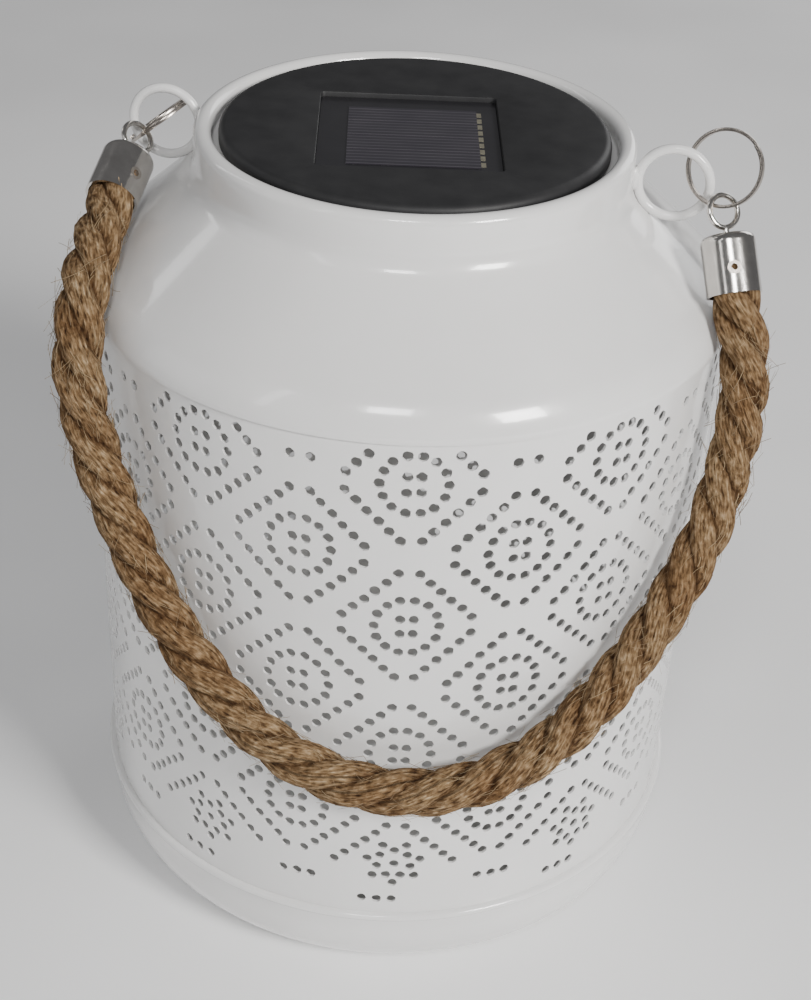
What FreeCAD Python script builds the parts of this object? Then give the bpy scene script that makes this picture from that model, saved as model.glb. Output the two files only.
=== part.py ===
import FreeCAD, Part
import math
import os
import re

import Sketcher
from FreeCAD import Vector

# Solar lantern: a jar of sheet metal with a punched sleeve, a drop-in solar lid and a rope
# handle that hangs from two welded wire rings. Millimetres, +Z up, origin at the centre of
# the base. The wire rings are on the X axis and the handle hangs down the front, at -Y.

SIZES = {
    "sheet": 0.6, "skirt_radius": 76.2,
    "seam_bottom": 23.8, "seam_top": 161.8, "seam_bead": 1.0, "seam_lap": 1.2,
    "pan_corner": 18.8,
    "corner_radius": 15.75, "corner_middle": 61.2, "corner_height": 158.2, "cone_slope": 42,
    "fillet_radius": 7, "fillet_height": 192.4,
    "neck_radius": 50.2, "bead_radius": 2, "bead_height": 197.7,
    "ledge_height": 195.6, "ledge_radius": 37.2, "sleeve_bottom": 22, "sleeve_top": 162.8,
    "hanger_radius": 8, "hanger_wire": 1.1, "hanger_height": 193.3, "hanger_sink": 0.2,
    "split_radius": 8.4, "split_width": 0.9, "split_depth": 1.7, "split_round": 0.3,
    "eye_radius": 3.6, "eye_wire": 0.65, "eye_drop": 1, "shank_length": 3,
    "cap_drop": 6.3, "cap_radius": 6.1, "cap_length": 13.5, "cap_wall": 0.6, "cap_round": 1.8,
    "screw_radius": 1.5, "screw_length": 3, "screw_drop": 8, "socket_radius": 0.8,
    "socket_depth": 1.2, "rope_radius": 5.5,
    "lid_radius": 44.5, "lid_top": 199.7, "lid_round": 1.8,
    "window_width": 41, "window_length": 43, "window_depth": 2.4, "panel_thickness": 1.2,
    "panel_gap": 0.1, "strip_width": 8, "strip_pitch": 8.3, "strip_length": 29.5,
    "strip_thickness": 0.25, "strip_count": 4, "dash_width": 1.1, "dash_length": 2.1,
    "dash_pitch": 3.6, "dash_count": 9, "dash_thickness": 0.1,
    "housing_radius": 36.2, "housing_wall": 1.6, "housing_bottom": 170,
    "floor_top": 171.6, "boss_wall": 0.3, "thread_play": 0.05, "thread_end": 0.4,
    "bay_length": 52, "bay_width": 12.8, "bay_wall": 1.2, "bay_top": 185, "bay_offset": 15,
    "door_gap": 0.3, "door_screw_place": 24.6, "pilot_radius": 1, "door_screw_length": 5,
    "door_head_radius": 1.9, "door_head_height": 1,
    "battery_radius": 5.25, "battery_length": 43.3, "battery_tip_radius": 1.9,
    "battery_tip": 1.2, "battery_height": 177.4,
    "spring_radius": 3, "spring_wire": 0.3, "spring_pitch": 1.1, "plate_thickness": 0.4,
    "plate_width": 8, "board_length": 40, "board_width": 32, "board_thickness": 1.6,
    "led_radius": 2.5, "led_tip": 167.4, "led_body": 4, "led_flange_radius": 2.9,
    "led_flange": 1, "led_hole": 2.7, "leg_radius": 0.25, "leg_spacing": 1.27,
    "lens_radius": 7.5, "lens_drop": 6.5, "lens_wall": 1,
    "switch_length": 8.6, "switch_width": 4.4, "switch_height": 3.6, "switch_place": 22,
    "knob_size": 2, "knob_travel": 3, "knob_gap": 0.3, "knob_bottom": 167.6,
    "post_radius": 3, "post_bore": 1.2, "post_head_radius": 2.3, "post_head": 2,
    "screw_bite": 2.2, "wire_radius": 0.6, "wire_spacing": 2.4, "wire_hole": 2.6,
}

# The line about which the split rings turn in the wire rings, and the line about which the
# cap eyes turn in the split rings. Both run along X.
EYE_LINE = (-4.0, 190.8)
# Each side's own places: where the eye hangs on its split ring, which way the cap points,
# the centre and normal of the split ring, which way the set screw faces, and how far the
# eye is swivelled in its cap from square across the split ring, in degrees.
SIDES = {
    "right": {"sign": 1, "eye_x": 70.6, "cap_way": (0.27, -0.53, -0.80),
              "ring_centre": (69.7, -0.7, 198.5), "ring_normal": (0.307, 0.887, -0.346),
              "screw_way": (0.1, -0.85, 0.5), "eye_turn": -40},
    "left": {"sign": -1, "eye_x": -64.6, "cap_way": (-0.04, -0.90, -0.43),
             "ring_centre": (-61.7, 3.6, 192.3), "ring_normal": (0.629, -0.08, -0.773),
             "screw_way": (0.8, -0.25, 0.55), "eye_turn": 0},
}
# The rope's route over the shoulder and round the front, from just outside the left cap to
# just outside the right one, chosen by hand.
ROPE_ROUTE = [
    (-63.8, -36.5, 178), (-63, -46.3, 173.8), (-62, -54.3, 167.6), (-60.7, -59.8, 159.4),
    (-58.6, -62.2, 149), (-54.8, -64, 137.3), (-48.5, -68, 123.4), (-38.5, -73.5, 107.5),
    (-27, -78.5, 94.5), (-13.5, -82, 83.2), (1.5, -83.2, 76), (17, -81.4, 72.6),
    (32, -76.8, 73.2), (46, -69.5, 78.2), (57.5, -60.5, 87.8), (67.2, -49, 99.8),
    (75, -36.8, 113.2), (79.6, -27.6, 126.8), (81.3, -23, 140.5), (81.6, -20.8, 152.5),
    (80.6, -19.2, 163.6),
]
ROPE_LEAVES = 21
POSTS = [(0, 29.8), (-27, -14), (27, -14)]
WINDOW_TURN = 12
WINDOW_CENTRE = (-0.9, -3.3)
CELLS_SHIFT = (0.9, -1.4)

doc = FreeCAD.newDocument("solar_lantern")
sheet = doc.addObject("Spreadsheet::Sheet", "sizes")
for row, (alias, number) in enumerate(SIZES.items(), start=1):
    sheet.set(f"A{row}", alias)
    sheet.set(f"B{row}", str(number))
    sheet.setAlias(f"B{row}", alias)
doc.recompute()

nodes = []


def size(alias):
    """The number in the sheet's cell of that alias."""
    return float(sheet.get(alias))


def linked(text):
    """A sum of aliases as an expression of the sheet's cells."""
    functions = ("cos", "sin", "sqrt")
    word = lambda found: found.group() if found.group() in functions else "sizes." + found.group()
    return re.sub(r"[a-z]\w*", word, text)


def number(text):
    """What a sum of aliases comes to."""
    return float(sheet.evalExpression(linked(text)))


def bind(thing, **sizes):
    """Bind properties to sums written with the sheet's aliases."""
    for name, text in sizes.items():
        path = name.replace("__", ".")
        thing.setExpression(path, linked(text))
    return thing


def piece(thing, label):
    """Count a finished object as a sub-part."""
    thing.Label = label
    nodes.append(thing)
    return thing


def point_on(outline, place, vertex):
    """Hold a vertex at its place, each coordinate a sum of the sheet's aliases."""
    for kind, axis, text in (("DistanceX", -2, place[0]), ("DistanceY", -1, place[1])):
        if text == "0":
            outline.addConstraint(Sketcher.Constraint("PointOnObject", *vertex, axis))
        else:
            index = outline.addConstraint(Sketcher.Constraint(kind, *vertex, number(text)))
            outline.setExpression(f"Constraints[{index}]", linked(text))


def sketch(name, start, steps, closed, body=None, plane=None, turn=None):
    """Lines and arcs from start, each step a place or a place with a radius and a side."""
    if body:
        outline = body.newObject("Sketcher::SketchObject", name)
        outline.AttachmentSupport = [(origin_plane(body, plane), "")]
        outline.MapMode = "FlatFace"
    else:
        outline = doc.addObject("Sketcher::SketchObject", name)
        outline.Placement = FreeCAD.Placement(Vector(), turn)
    here = start
    for index, step in enumerate(steps):
        there = step[:2]
        first = Vector(number(here[0]), number(here[1]), 0)
        last = Vector(number(there[0]), number(there[1]), 0)
        if len(step) == 2:
            outline.addGeometry(Part.LineSegment(first, last), False)
        else:
            radius, side = number(step[2]), step[3]
            half = (last - first) / 2
            across = Vector(-half.y, half.x, 0).normalize() * side
            centre = first + half + across * math.sqrt(max(radius ** 2 - half.Length ** 2, 0))
            middle = centre - across * radius
            arc_ends = (first, last) if side > 0 else (last, first)
            outline.addGeometry(Part.Arc(arc_ends[0], middle, arc_ends[1]), False)
            bow = outline.addConstraint(Sketcher.Constraint("Radius", index, radius))
            outline.setExpression(f"Constraints[{bow}]", linked(step[2]))
        begins, ends = ends_of(outline, index, first)
        if index:
            outline.addConstraint(Sketcher.Constraint("Coincident", index - 1, last_end, index, begins))
        else:
            point_on(outline, start, (index, begins))
            first_end = begins
        if closed and index == len(steps) - 1:
            outline.addConstraint(Sketcher.Constraint("Coincident", index, ends, 0, first_end))
        else:
            point_on(outline, there, (index, ends))
        here, last_end = there, ends
    return outline


def ends_of(outline, index, first):
    """Which end of an element is its first in the outline: an arc always runs anticlockwise."""
    start = outline.Geometry[index].StartPoint
    return (1, 2) if start.distanceToPoint(first) < 1e-6 else (2, 1)


def origin_plane(body, role):
    """One of the planes of a body's own origin."""
    return next(part for part in body.Origin.OriginFeatures if part.Role == role)


def primitive(kind, name, place=("0", "0", "0"), turn=None, **sizes):
    """A Part primitive, its sizes and its place bound to the sheet."""
    thing = doc.addObject("Part::" + kind, name)
    thing.Placement = FreeCAD.Placement(Vector(), turn or FreeCAD.Rotation())
    for axis, text in zip("xyz", place):
        bind(thing, **{"Placement__Base__" + axis: text})
    return bind(thing, **sizes)


def rod(name, radius, low, high, x="0", y="0"):
    """An upright cylinder between two heights."""
    return primitive("Cylinder", name, (x, y, low), Radius=radius, Height=f"{high} - ({low})")


def lying(name, radius, start, length, y, height):
    """A cylinder along X."""
    along = FreeCAD.Rotation(Vector(0, 1, 0), 90)
    return primitive("Cylinder", name, (start, y, height), along, Radius=radius, Height=length)


def plate(name, length, width, low, high, x="0", y="0", turn=0):
    """An upright block centred on x and y."""
    block = primitive("Box", name, ("0", "0", low), Length=length, Width=width,
                      Height=f"{high} - ({low})")
    spin = FreeCAD.Rotation(Vector(0, 0, 1), turn)
    block.Placement = FreeCAD.Placement(block.Placement.Base, spin)
    cosine, sine = math.cos(math.radians(turn)), math.sin(math.radians(turn))
    half = (f"({length}) / 2", f"({width}) / 2")
    bind(block, Placement__Base__x=f"{x} - {cosine:.6f} * {half[0]} + {sine:.6f} * {half[1]}",
         Placement__Base__y=f"{y} - {sine:.6f} * {half[0]} - {cosine:.6f} * {half[1]}")
    return block


def fused(name, *things):
    """The union of several objects."""
    joined = doc.addObject("Part::MultiFuse", name)
    joined.Shapes = list(things)
    return joined


def cut(name, base, *tools):
    """base less every tool."""
    step = doc.addObject("Part::Cut", name)
    step.Base, step.Tool = base, tools[0] if len(tools) == 1 else fused(name + "_tools", *tools)
    return step


def group(label, things):
    """Several separate solids in one node."""
    together = doc.addObject("Part::Compound", label)
    together.Links = things
    return piece(together, label)


def rounded(name, base, height, radius):
    """Round the circular edges of base that lie at a height."""
    doc.recompute()
    edges = [index for index, edge in enumerate(base.Shape.Edges, start=1)
             if abs(edge.BoundBox.ZMin - height) < 0.01 and edge.BoundBox.ZLength < 0.01]
    smooth = doc.addObject("Part::Fillet", name)
    smooth.Base = base
    smooth.Edges = [(index, size(radius), size(radius)) for index in edges]
    return smooth


def new_body(label):
    """An empty PartDesign body that is a sub-part."""
    return piece(doc.addObject("PartDesign::Body", label), label)


def revolved(body, name, start, steps):
    """Turn a closed outline on the XZ plane about Z."""
    outline = sketch(name + "_outline", start, steps, True, body, "XZ_Plane")
    turned = body.newObject("PartDesign::Revolution", name)
    turned.Profile = outline
    turned.ReferenceAxis = (outline, ["V_Axis"])
    turned.Angle = 360
    return turned


# The jar.

def shoulder_shell():
    """Skirt, rounded corner, cone, neck, rolled rim and the ledge that carries the lid."""
    inner_corner = "(corner_radius - sheet)"
    skirt_inside = "(skirt_radius - sheet - corner_middle)"
    revolved(new_body("shoulder_shell"), "shoulder", ("skirt_radius", "seam_top"), [
        ("skirt_radius", "seam_top + seam_lap"),
        ("corner_middle + corner_radius * sin(cone_slope)",
         "corner_height + corner_radius * cos(cone_slope)", "corner_radius", 1),
        ("neck_radius + fillet_radius * (1 - sin(cone_slope))",
         "fillet_height - fillet_radius * cos(cone_slope)"),
        ("neck_radius", "fillet_height", "fillet_radius", -1),
        ("neck_radius", "bead_height"),
        ("neck_radius - bead_radius", "bead_height + bead_radius", "bead_radius", 1),
        ("neck_radius - 2 * bead_radius", "bead_height", "bead_radius", 1),
        ("neck_radius - 2 * bead_radius", "ledge_height"),
        ("ledge_radius", "ledge_height"),
        ("ledge_radius", "ledge_height - sheet"),
        ("neck_radius - 2 * bead_radius + sheet", "ledge_height - sheet"),
        ("neck_radius - 2 * bead_radius + sheet", "bead_height"),
        ("neck_radius - bead_radius", "bead_height + bead_radius - sheet",
         "bead_radius - sheet", -1),
        ("neck_radius - sheet", "bead_height", "bead_radius - sheet", -1),
        ("neck_radius - sheet", "fillet_height"),
        ("neck_radius + fillet_radius - (fillet_radius + sheet) * sin(cone_slope)",
         "fillet_height - (fillet_radius + sheet) * cos(cone_slope)",
         "fillet_radius + sheet", 1),
        (f"corner_middle + {inner_corner} * sin(cone_slope)",
         f"corner_height + {inner_corner} * cos(cone_slope)"),
        ("skirt_radius - sheet",
         f"corner_height + sqrt({inner_corner}^2 - {skirt_inside}^2)", inner_corner, -1),
        ("skirt_radius - sheet", "seam_top"),
        ("skirt_radius", "seam_top"),
    ])


def perforated_sleeve():
    """The straight tube between the two seams."""
    revolved(new_body("perforated_sleeve"), "sleeve", ("skirt_radius - sheet", "sleeve_bottom"), [
        ("skirt_radius - sheet", "sleeve_top"),
        ("skirt_radius - 2 * sheet", "sleeve_top"),
        ("skirt_radius - 2 * sheet", "sleeve_bottom"),
        ("skirt_radius - sheet", "sleeve_bottom"),
    ])


def base_pan():
    """The flat bottom with its rounded corner and the bead under the sleeve."""
    revolved(new_body("base_pan"), "pan", ("skirt_radius", "seam_bottom + 2 * seam_bead"), [
        ("skirt_radius + seam_bead", "seam_bottom + seam_bead", "seam_bead", -1),
        ("skirt_radius", "seam_bottom", "seam_bead", -1),
        ("skirt_radius", "pan_corner"),
        ("skirt_radius - pan_corner", "0", "pan_corner", -1),
        ("0", "0"),
        ("0", "sheet"),
        ("skirt_radius - pan_corner", "sheet"),
        ("skirt_radius - sheet", "pan_corner", "pan_corner - sheet", 1),
        ("skirt_radius - sheet", "seam_bottom + 2 * seam_bead"),
        ("skirt_radius", "seam_bottom + 2 * seam_bead"),
    ])


def hanger_ring(side, sign):
    """A closed wire ring, welded to the neck where it sinks into it."""
    place = (f"{sign} * (neck_radius + hanger_radius + hanger_wire - hanger_sink)", "0",
             "hanger_height")
    ring = primitive("Torus", side + "_hanger_ring", place, UPRIGHT,
                     Radius1="hanger_radius", Radius2="hanger_wire")
    piece(ring, side + "_hanger_ring")


# The handle: split rings, caps with their eyes and set screws, and the rope.

def frame_along(way, across):
    """The turn that takes -Z to way and keeps X near across."""
    up = Vector(*way).normalize() * -1
    side = Vector(*across)
    side = (side - up * side.dot(up)).normalize()
    return FreeCAD.Rotation(side, up.cross(side), up, "ZXY")


def eye_place(places):
    """The turn and the place of a cap's own frame, whose origin is on the eye line."""
    eye = Vector(places["eye_x"], *EYE_LINE)
    tangent = Vector(*places["ring_normal"]).cross(eye - Vector(*places["ring_centre"]))
    return FreeCAD.Placement(eye, frame_along(places["cap_way"], tangent))


def split_ring(side, places):
    """A split ring, closed up to one flat coil of its real section."""
    body = new_body(side + "_split_ring")
    inner, outer = "split_radius - split_width / 2", "split_radius + split_width / 2"
    low, high = "0 - split_depth / 2", "split_depth / 2"
    coil = revolved(body, side + "_coil", (inner, low),
                    [(outer, low), (outer, high), (inner, high), (inner, low)])
    doc.recompute()
    edges = body.newObject("PartDesign::Fillet", side + "_coil_edges")
    edges.Base = (coil, [f"Edge{number + 1}" for number in range(len(coil.Shape.Edges))])
    bind(edges, Radius="split_round")
    turn = FreeCAD.Rotation(Vector(0, 0, 1), Vector(*places["ring_normal"]))
    body.Placement = FreeCAD.Placement(Vector(*places["ring_centre"]), turn)


def cap_eye(side, place):
    """The wire eye and the shank that holds it in the cap."""
    facing = FreeCAD.Rotation(Vector(0, 1, 0), -90)
    loop = primitive("Torus", side + "_loop", ("0", "0", "0 - eye_drop"), facing,
                     Radius1="eye_radius", Radius2="eye_wire")
    shank = rod(side + "_shank", "eye_wire", "0 - cap_drop - shank_length",
                "0 - eye_drop - eye_radius")
    eye = piece(fused(side + "_cap_eye", loop, shank), side + "_cap_eye")
    eye.Placement = place


def rope_cap(side, place, screw_turn):
    """A cup with a rounded top, a hole for the shank and one for the set screw."""
    can = rod(side + "_can", "cap_radius", "0 - cap_drop - cap_length", "0 - cap_drop")
    smooth = rounded(side + "_can_top", can, -size("cap_drop"), "cap_round")
    bore = rod(side + "_bore", "cap_radius - cap_wall", "0 - cap_drop - cap_length - 1",
               "0 - cap_drop - shank_length")
    eyelet = rod(side + "_eyelet", "eye_wire", "0 - cap_drop - cap_length", "0")
    tapped = primitive("Cylinder", side + "_tapped_hole", ("0", "0", "0 - cap_drop - screw_drop"),
                       screw_turn, Radius="screw_radius", Height="2 * cap_radius")
    cap = piece(cut(side + "_rope_cap", smooth, bore, eyelet, tapped), side + "_rope_cap")
    cap.Placement = place


def set_screw(side, place, screw_turn):
    """The hexagon-socket screw that bites on the rope, its end level with the cap."""
    shaft = primitive("Cylinder", side + "_screw_shaft", turn=FreeCAD.Rotation(),
                      Radius="screw_radius", Height="screw_length")
    socket = primitive("Prism", side + "_screw_socket",
                       ("0", "0", "screw_length - socket_depth"),
                       Circumradius="socket_radius", Height="screw_length")
    screw = cut(side + "_set_screw", shaft, socket)
    outward = screw_turn.multVec(Vector(0, 0, 1))
    inset = size("cap_radius") - size("screw_length")
    base = Vector(0, 0, -size("cap_drop") - size("screw_drop")) + outward * inset
    piece(screw, side + "_set_screw").Placement = place * FreeCAD.Placement(base, screw_turn)


def rope_path(points):
    """Straight runs joined by arcs as large as their runs allow."""
    edges, radii, here = [], [], points[0]
    for before, point, after in zip(points, points[1:], points[2:]):
        back, forward = before - point, after - point
        reach = 0.45 * min(back.Length, forward.Length)
        half_turn = (math.pi - back.getAngle(forward)) / 2
        radius = reach / math.tan(half_turn)
        radii.append(radius)
        back.normalize()
        forward.normalize()
        start, end = point + back * reach, point + forward * reach
        bisector = (back + forward).normalize()
        middle = point + bisector * (radius / math.cos(half_turn) - radius)
        edges.append(Part.LineSegment(here, start).toShape())
        edges.append(Part.Arc(start, middle, end).toShape())
        here = end
    edges.append(Part.LineSegment(here, points[-1]).toShape())
    print("rope arc radii", " ".join(f"{radius:.0f}" for radius in radii))
    return Part.Wire(edges)


def rope_handle(places):
    """The rope between the two caps, each end against its cap's ceiling."""
    ends = {}
    for side, place in places.items():
        way = place.Rotation.multVec(Vector(0, 0, -1))
        start = size("cap_drop") + size("shank_length")
        ends[side] = [place.Base + way * start, place.Base + way * ROPE_LEAVES]
    middle = [Vector(*point) for point in ROPE_ROUTE]
    path = rope_path(ends["left"] + middle + ends["right"][::-1])
    begin = path.Edges[0]
    ring = Part.Circle(begin.Vertexes[0].Point, begin.tangentAt(begin.FirstParameter),
                       size("rope_radius"))
    tube = path.makePipeShell([Part.Wire(ring.toShape())], True, False)
    rope = doc.addObject("Part::Feature", "rope_handle")
    rope.Shape = tube.Solids[0] if tube.Solids else tube
    piece(rope, "rope_handle")
    expected = math.pi * size("rope_radius") ** 2 * path.Length
    print(f"rope length {path.Length:.1f}, volume ratio {rope.Shape.Volume / expected:.4f}")


# The lid, with everything that hangs under it.

def window_corner(x, y):
    """A place in the window's own turned frame."""
    turn = math.radians(WINDOW_TURN)
    return (WINDOW_CENTRE[0] + x * math.cos(turn) - y * math.sin(turn),
            WINDOW_CENTRE[1] + x * math.sin(turn) + y * math.cos(turn))


def in_window(name, length, width, low, high, x=0, y=0):
    """A block in the window's own turned frame."""
    place = window_corner(x, y)
    return plate(name, length, width, low, high, f"{place[0]:.4f}", f"{place[1]:.4f}", WINDOW_TURN)


def lid_disc():
    """The plastic disc with the window's pocket, the wires' hole and the screws' pilots."""
    disc = rod("disc", "lid_radius", "ledge_height", "lid_top")
    smooth = rounded("disc_edge", disc, size("lid_top"), "lid_round")
    pocket = in_window("window", "window_width", "window_length", "lid_top - window_depth",
                       "lid_top + 1")
    wires = rod("wire_way", "wire_hole", "ledge_height - 1", "lid_top")
    pilots = [rod(f"pilot_{index}", "post_bore", "ledge_height - 1", "ledge_height + screw_bite / 2",
                  str(x), str(y)) for index, (x, y) in enumerate(POSTS)]
    piece(cut("lid_disc", smooth, pocket, wires, *pilots), "lid_disc")


def solar_panel():
    """The board in the window, the four cell strips on it and the bus bar's dashes."""
    low = "lid_top - window_depth"
    board = in_window("solar_panel", "window_width - 2 * panel_gap", "window_length - 2 * panel_gap",
                      low, low + " + panel_thickness")
    piece(board, "solar_panel")
    top = low + " + panel_thickness"
    strips, dashes = [], []
    count, pitch = int(size("strip_count")), size("strip_pitch")
    for index in range(count):
        y = CELLS_SHIFT[1] + (index - (count - 1) / 2) * pitch
        strips.append(in_window(f"strip_{index}", "strip_length", "strip_width", top,
                                top + " + strip_thickness", CELLS_SHIFT[0], y))
    group("solar_cells", strips)
    edge = CELLS_SHIFT[0] + size("strip_length") / 2 + size("dash_width") / 2
    count = int(size("dash_count"))
    for index in range(count):
        y = CELLS_SHIFT[1] + (index - (count - 1) / 2) * size("dash_pitch")
        dashes.append(in_window(f"dash_{index}", "dash_width", "dash_length", top,
                                top + " + dash_thickness", edge, y))
    group("bus_bar", dashes)


def lid_housing():
    """The round box under the disc: wall, floor, battery bay and three screw posts."""
    outside = rod("housing_can", "housing_radius", "housing_bottom", "ledge_height")
    inside = rod("housing_room", "housing_radius - housing_wall", "floor_top", "ledge_height + 1")
    shell = cut("housing_shell", outside, inside)
    bay = cut("bay", plate("bay_block", "bay_length + 2 * bay_wall", "bay_width + 2 * bay_wall",
                           "floor_top", "bay_top", "0", "bay_offset"),
              plate("bay_room", "bay_length", "bay_width", "floor_top - 1", "bay_top + 1", "0",
                    "bay_offset"))
    boss = plate("door_boss", "bay_length / 2 - door_screw_place + pilot_radius + boss_wall", "bay_width",
                 "floor_top", "floor_top + door_screw_length",
                 "(bay_length / 2 + door_screw_place - pilot_radius - boss_wall) / 2", "bay_offset")
    posts = [rod(f"post_{index}", "post_radius", "floor_top", "ledge_height", str(x), str(y))
             for index, (x, y) in enumerate(POSTS)]
    solid = fused("housing_solid", shell, bay, boss, *posts)
    openings = [plate("door_way", "bay_length", "bay_width", "housing_bottom - 1", "floor_top",
                      "0", "bay_offset"),
                rod("door_pilot", "pilot_radius", "housing_bottom",
                    "floor_top + door_screw_length + 1", "door_screw_place", "bay_offset"),
                rod("led_way", "led_hole", "housing_bottom - 1", "floor_top + 1"),
                plate("knob_way", "knob_size + knob_travel + 2 * knob_gap",
                      "knob_size + 2 * knob_gap", "housing_bottom - 1", "floor_top + 1",
                      "0", "0 - switch_place")]
    for index, (x, y) in enumerate(POSTS):
        openings.append(rod(f"post_bore_{index}", "post_bore", "housing_bottom - 1",
                            "ledge_height + 1", str(x), str(y)))
        openings.append(rod(f"post_sink_{index}", "post_head_radius + knob_gap",
                            "housing_bottom - 1", "housing_bottom + post_head", str(x), str(y)))
    piece(cut("lid_housing", solid, *openings), "lid_housing")


def battery_door():
    """The door in the housing's floor and the screw that holds it shut."""
    leaf = plate("door_leaf", "bay_length - 2 * door_gap", "bay_width - 2 * door_gap",
                 "housing_bottom", "floor_top", "0", "bay_offset")
    hole = rod("door_hole", "pilot_radius", "housing_bottom - 1", "floor_top + 1",
               "door_screw_place", "bay_offset")
    piece(cut("battery_door", leaf, hole), "battery_door")
    head = rod("door_screw_head", "door_head_radius", "housing_bottom - door_head_height",
               "housing_bottom", "door_screw_place", "bay_offset")
    thread = rod("door_screw_thread", "pilot_radius - thread_play", "housing_bottom",
                 "floor_top + door_screw_length - thread_end", "door_screw_place", "bay_offset")
    slot = plate("door_screw_slot", "door_head_radius", "sheet",
                 "housing_bottom - 2 * door_head_height", "housing_bottom - door_head_height / 2",
                 "door_screw_place", "bay_offset")
    piece(cut("door_screw", fused("door_screw_whole", head, thread), slot), "door_screw")


def battery():
    """A small cell on its side, with its button end towards +X."""
    can = lying("cell", "battery_radius", "0 - battery_length / 2", "battery_length",
                "bay_offset", "battery_height")
    button = lying("cell_button", "battery_tip_radius", "battery_length / 2 - 1",
                   "battery_tip + 1", "bay_offset", "battery_height")
    piece(fused("battery", can, button), "battery")


def contacts():
    """The flat contact at the button and the coil spring at the other end."""
    where = "battery_length / 2 + battery_tip"
    flat = primitive("Box", "contact_plate",
                     (where, "bay_offset - plate_width / 2", "battery_height - plate_width / 2"),
                     Length="plate_thickness", Width="plate_width", Height="plate_width")
    piece(flat, "contact_plate")
    length = size("bay_length") / 2 - size("battery_length") / 2 - 2 * size("spring_wire")
    helix = Part.makeHelix(size("spring_pitch"), length, size("spring_radius"))
    ring = Part.Circle(Vector(size("spring_radius"), 0, 0), Vector(0, 1, 0), size("spring_wire"))
    coil = Part.Wire(helix).makePipeShell([Part.Wire(ring.toShape())], True, True)
    spring = doc.addObject("Part::Feature", "contact_spring")
    spring.Shape = coil.Solids[0] if coil.Solids else coil
    base = Vector(-size("bay_length") / 2 + size("spring_wire"), size("bay_offset"),
                  size("battery_height"))
    spring.Placement = FreeCAD.Placement(base, FreeCAD.Rotation(Vector(0, 1, 0), 90))
    piece(spring, "contact_spring")


def electronics():
    """The board on the bay, the lamp with its two legs, its lens and the panel's wires."""
    board = plate("circuit_board", "board_length", "board_width", "bay_top",
                  "bay_top + board_thickness", "0", "2")
    piece(board, "circuit_board")
    dome = primitive("Sphere", "led_dome", ("0", "0", "led_tip + led_radius"), Radius="led_radius")
    stem = rod("led_stem", "led_radius", "led_tip + led_radius", "led_tip + led_radius + led_body")
    flange = rod("led_rim", "led_flange_radius", "led_tip + led_radius + led_body",
                 "led_tip + led_radius + led_body + led_flange")
    legs = [rod(f"led_leg_{index}", "leg_radius", "led_tip + led_radius + led_body",
                "bay_top", f"{sign} * leg_spacing") for index, sign in enumerate((-1, 1))]
    piece(fused("led", dome, stem, flange, *legs), "led")
    cup = cut("led_lens", rod("lens_cup", "lens_radius", "housing_bottom - lens_drop",
                              "housing_bottom"),
              rod("lens_room", "lens_radius - lens_wall", "housing_bottom - lens_drop + lens_wall",
                  "housing_bottom + 1"))
    piece(cup, "led_lens")
    low, high = "bay_top + board_thickness", "lid_top - window_depth"
    group("panel_wires", [rod(f"panel_wire_{index}", "wire_radius", low, high,
                              f"{sign} * wire_spacing / 2") for index, sign in enumerate((-1, 1))])


def switch():
    """The slide switch on the floor and its knob, which reaches down through a slot."""
    case = plate("switch_case", "switch_length", "switch_width", "floor_top",
                 "floor_top + switch_height", "0", "0 - switch_place")
    room = plate("switch_room", "knob_size + knob_travel + 2 * knob_gap",
                 "knob_size + 2 * knob_gap", "floor_top - 1", "floor_top + switch_height / 2",
                 "0", "0 - switch_place")
    piece(cut("switch_body", case, room), "switch_body")
    knob = plate("switch_knob", "knob_size", "knob_size", "knob_bottom",
                 "floor_top + switch_height / 2 - knob_gap", "0 - knob_travel / 2",
                 "0 - switch_place")
    piece(knob, "switch_knob")


def housing_screws():
    """The three screws that hold the housing to the disc."""
    screws = []
    for index, (x, y) in enumerate(POSTS):
        head = rod(f"post_screw_head_{index}", "post_head_radius", "housing_bottom + post_head / 2",
                   "housing_bottom + post_head", str(x), str(y))
        thread = rod(f"post_screw_thread_{index}", "post_bore", "housing_bottom + post_head",
                     "ledge_height + screw_bite / 2", str(x), str(y))
        screws.append(fused(f"post_screw_{index}", head, thread))
    group("housing_screws", screws)


def write_parts():
    """Check every object, then write one file for each node."""
    doc.recompute()
    for thing in doc.Objects:
        if {"Invalid", "Error"} & set(thing.State):
            raise RuntimeError(f"{thing.Label} failed: {thing.State}")
    for node in nodes:
        if node.Shape.isNull() or not node.Shape.isValid():
            raise RuntimeError(f"{node.Label} has no valid shape")
    os.makedirs("parts", exist_ok=True)
    for node in nodes:
        node.Shape.exportStep(f"parts/{node.Label}.step")
        box = node.Shape.BoundBox
        print(f"{node.Label:20s} solids {len(node.Shape.Solids)} volume {node.Shape.Volume:9.1f}"
              f" x {box.XMin:.1f} {box.XMax:.1f} y {box.YMin:.1f} {box.YMax:.1f}"
              f" z {box.ZMin:.1f} {box.ZMax:.1f}")


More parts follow.
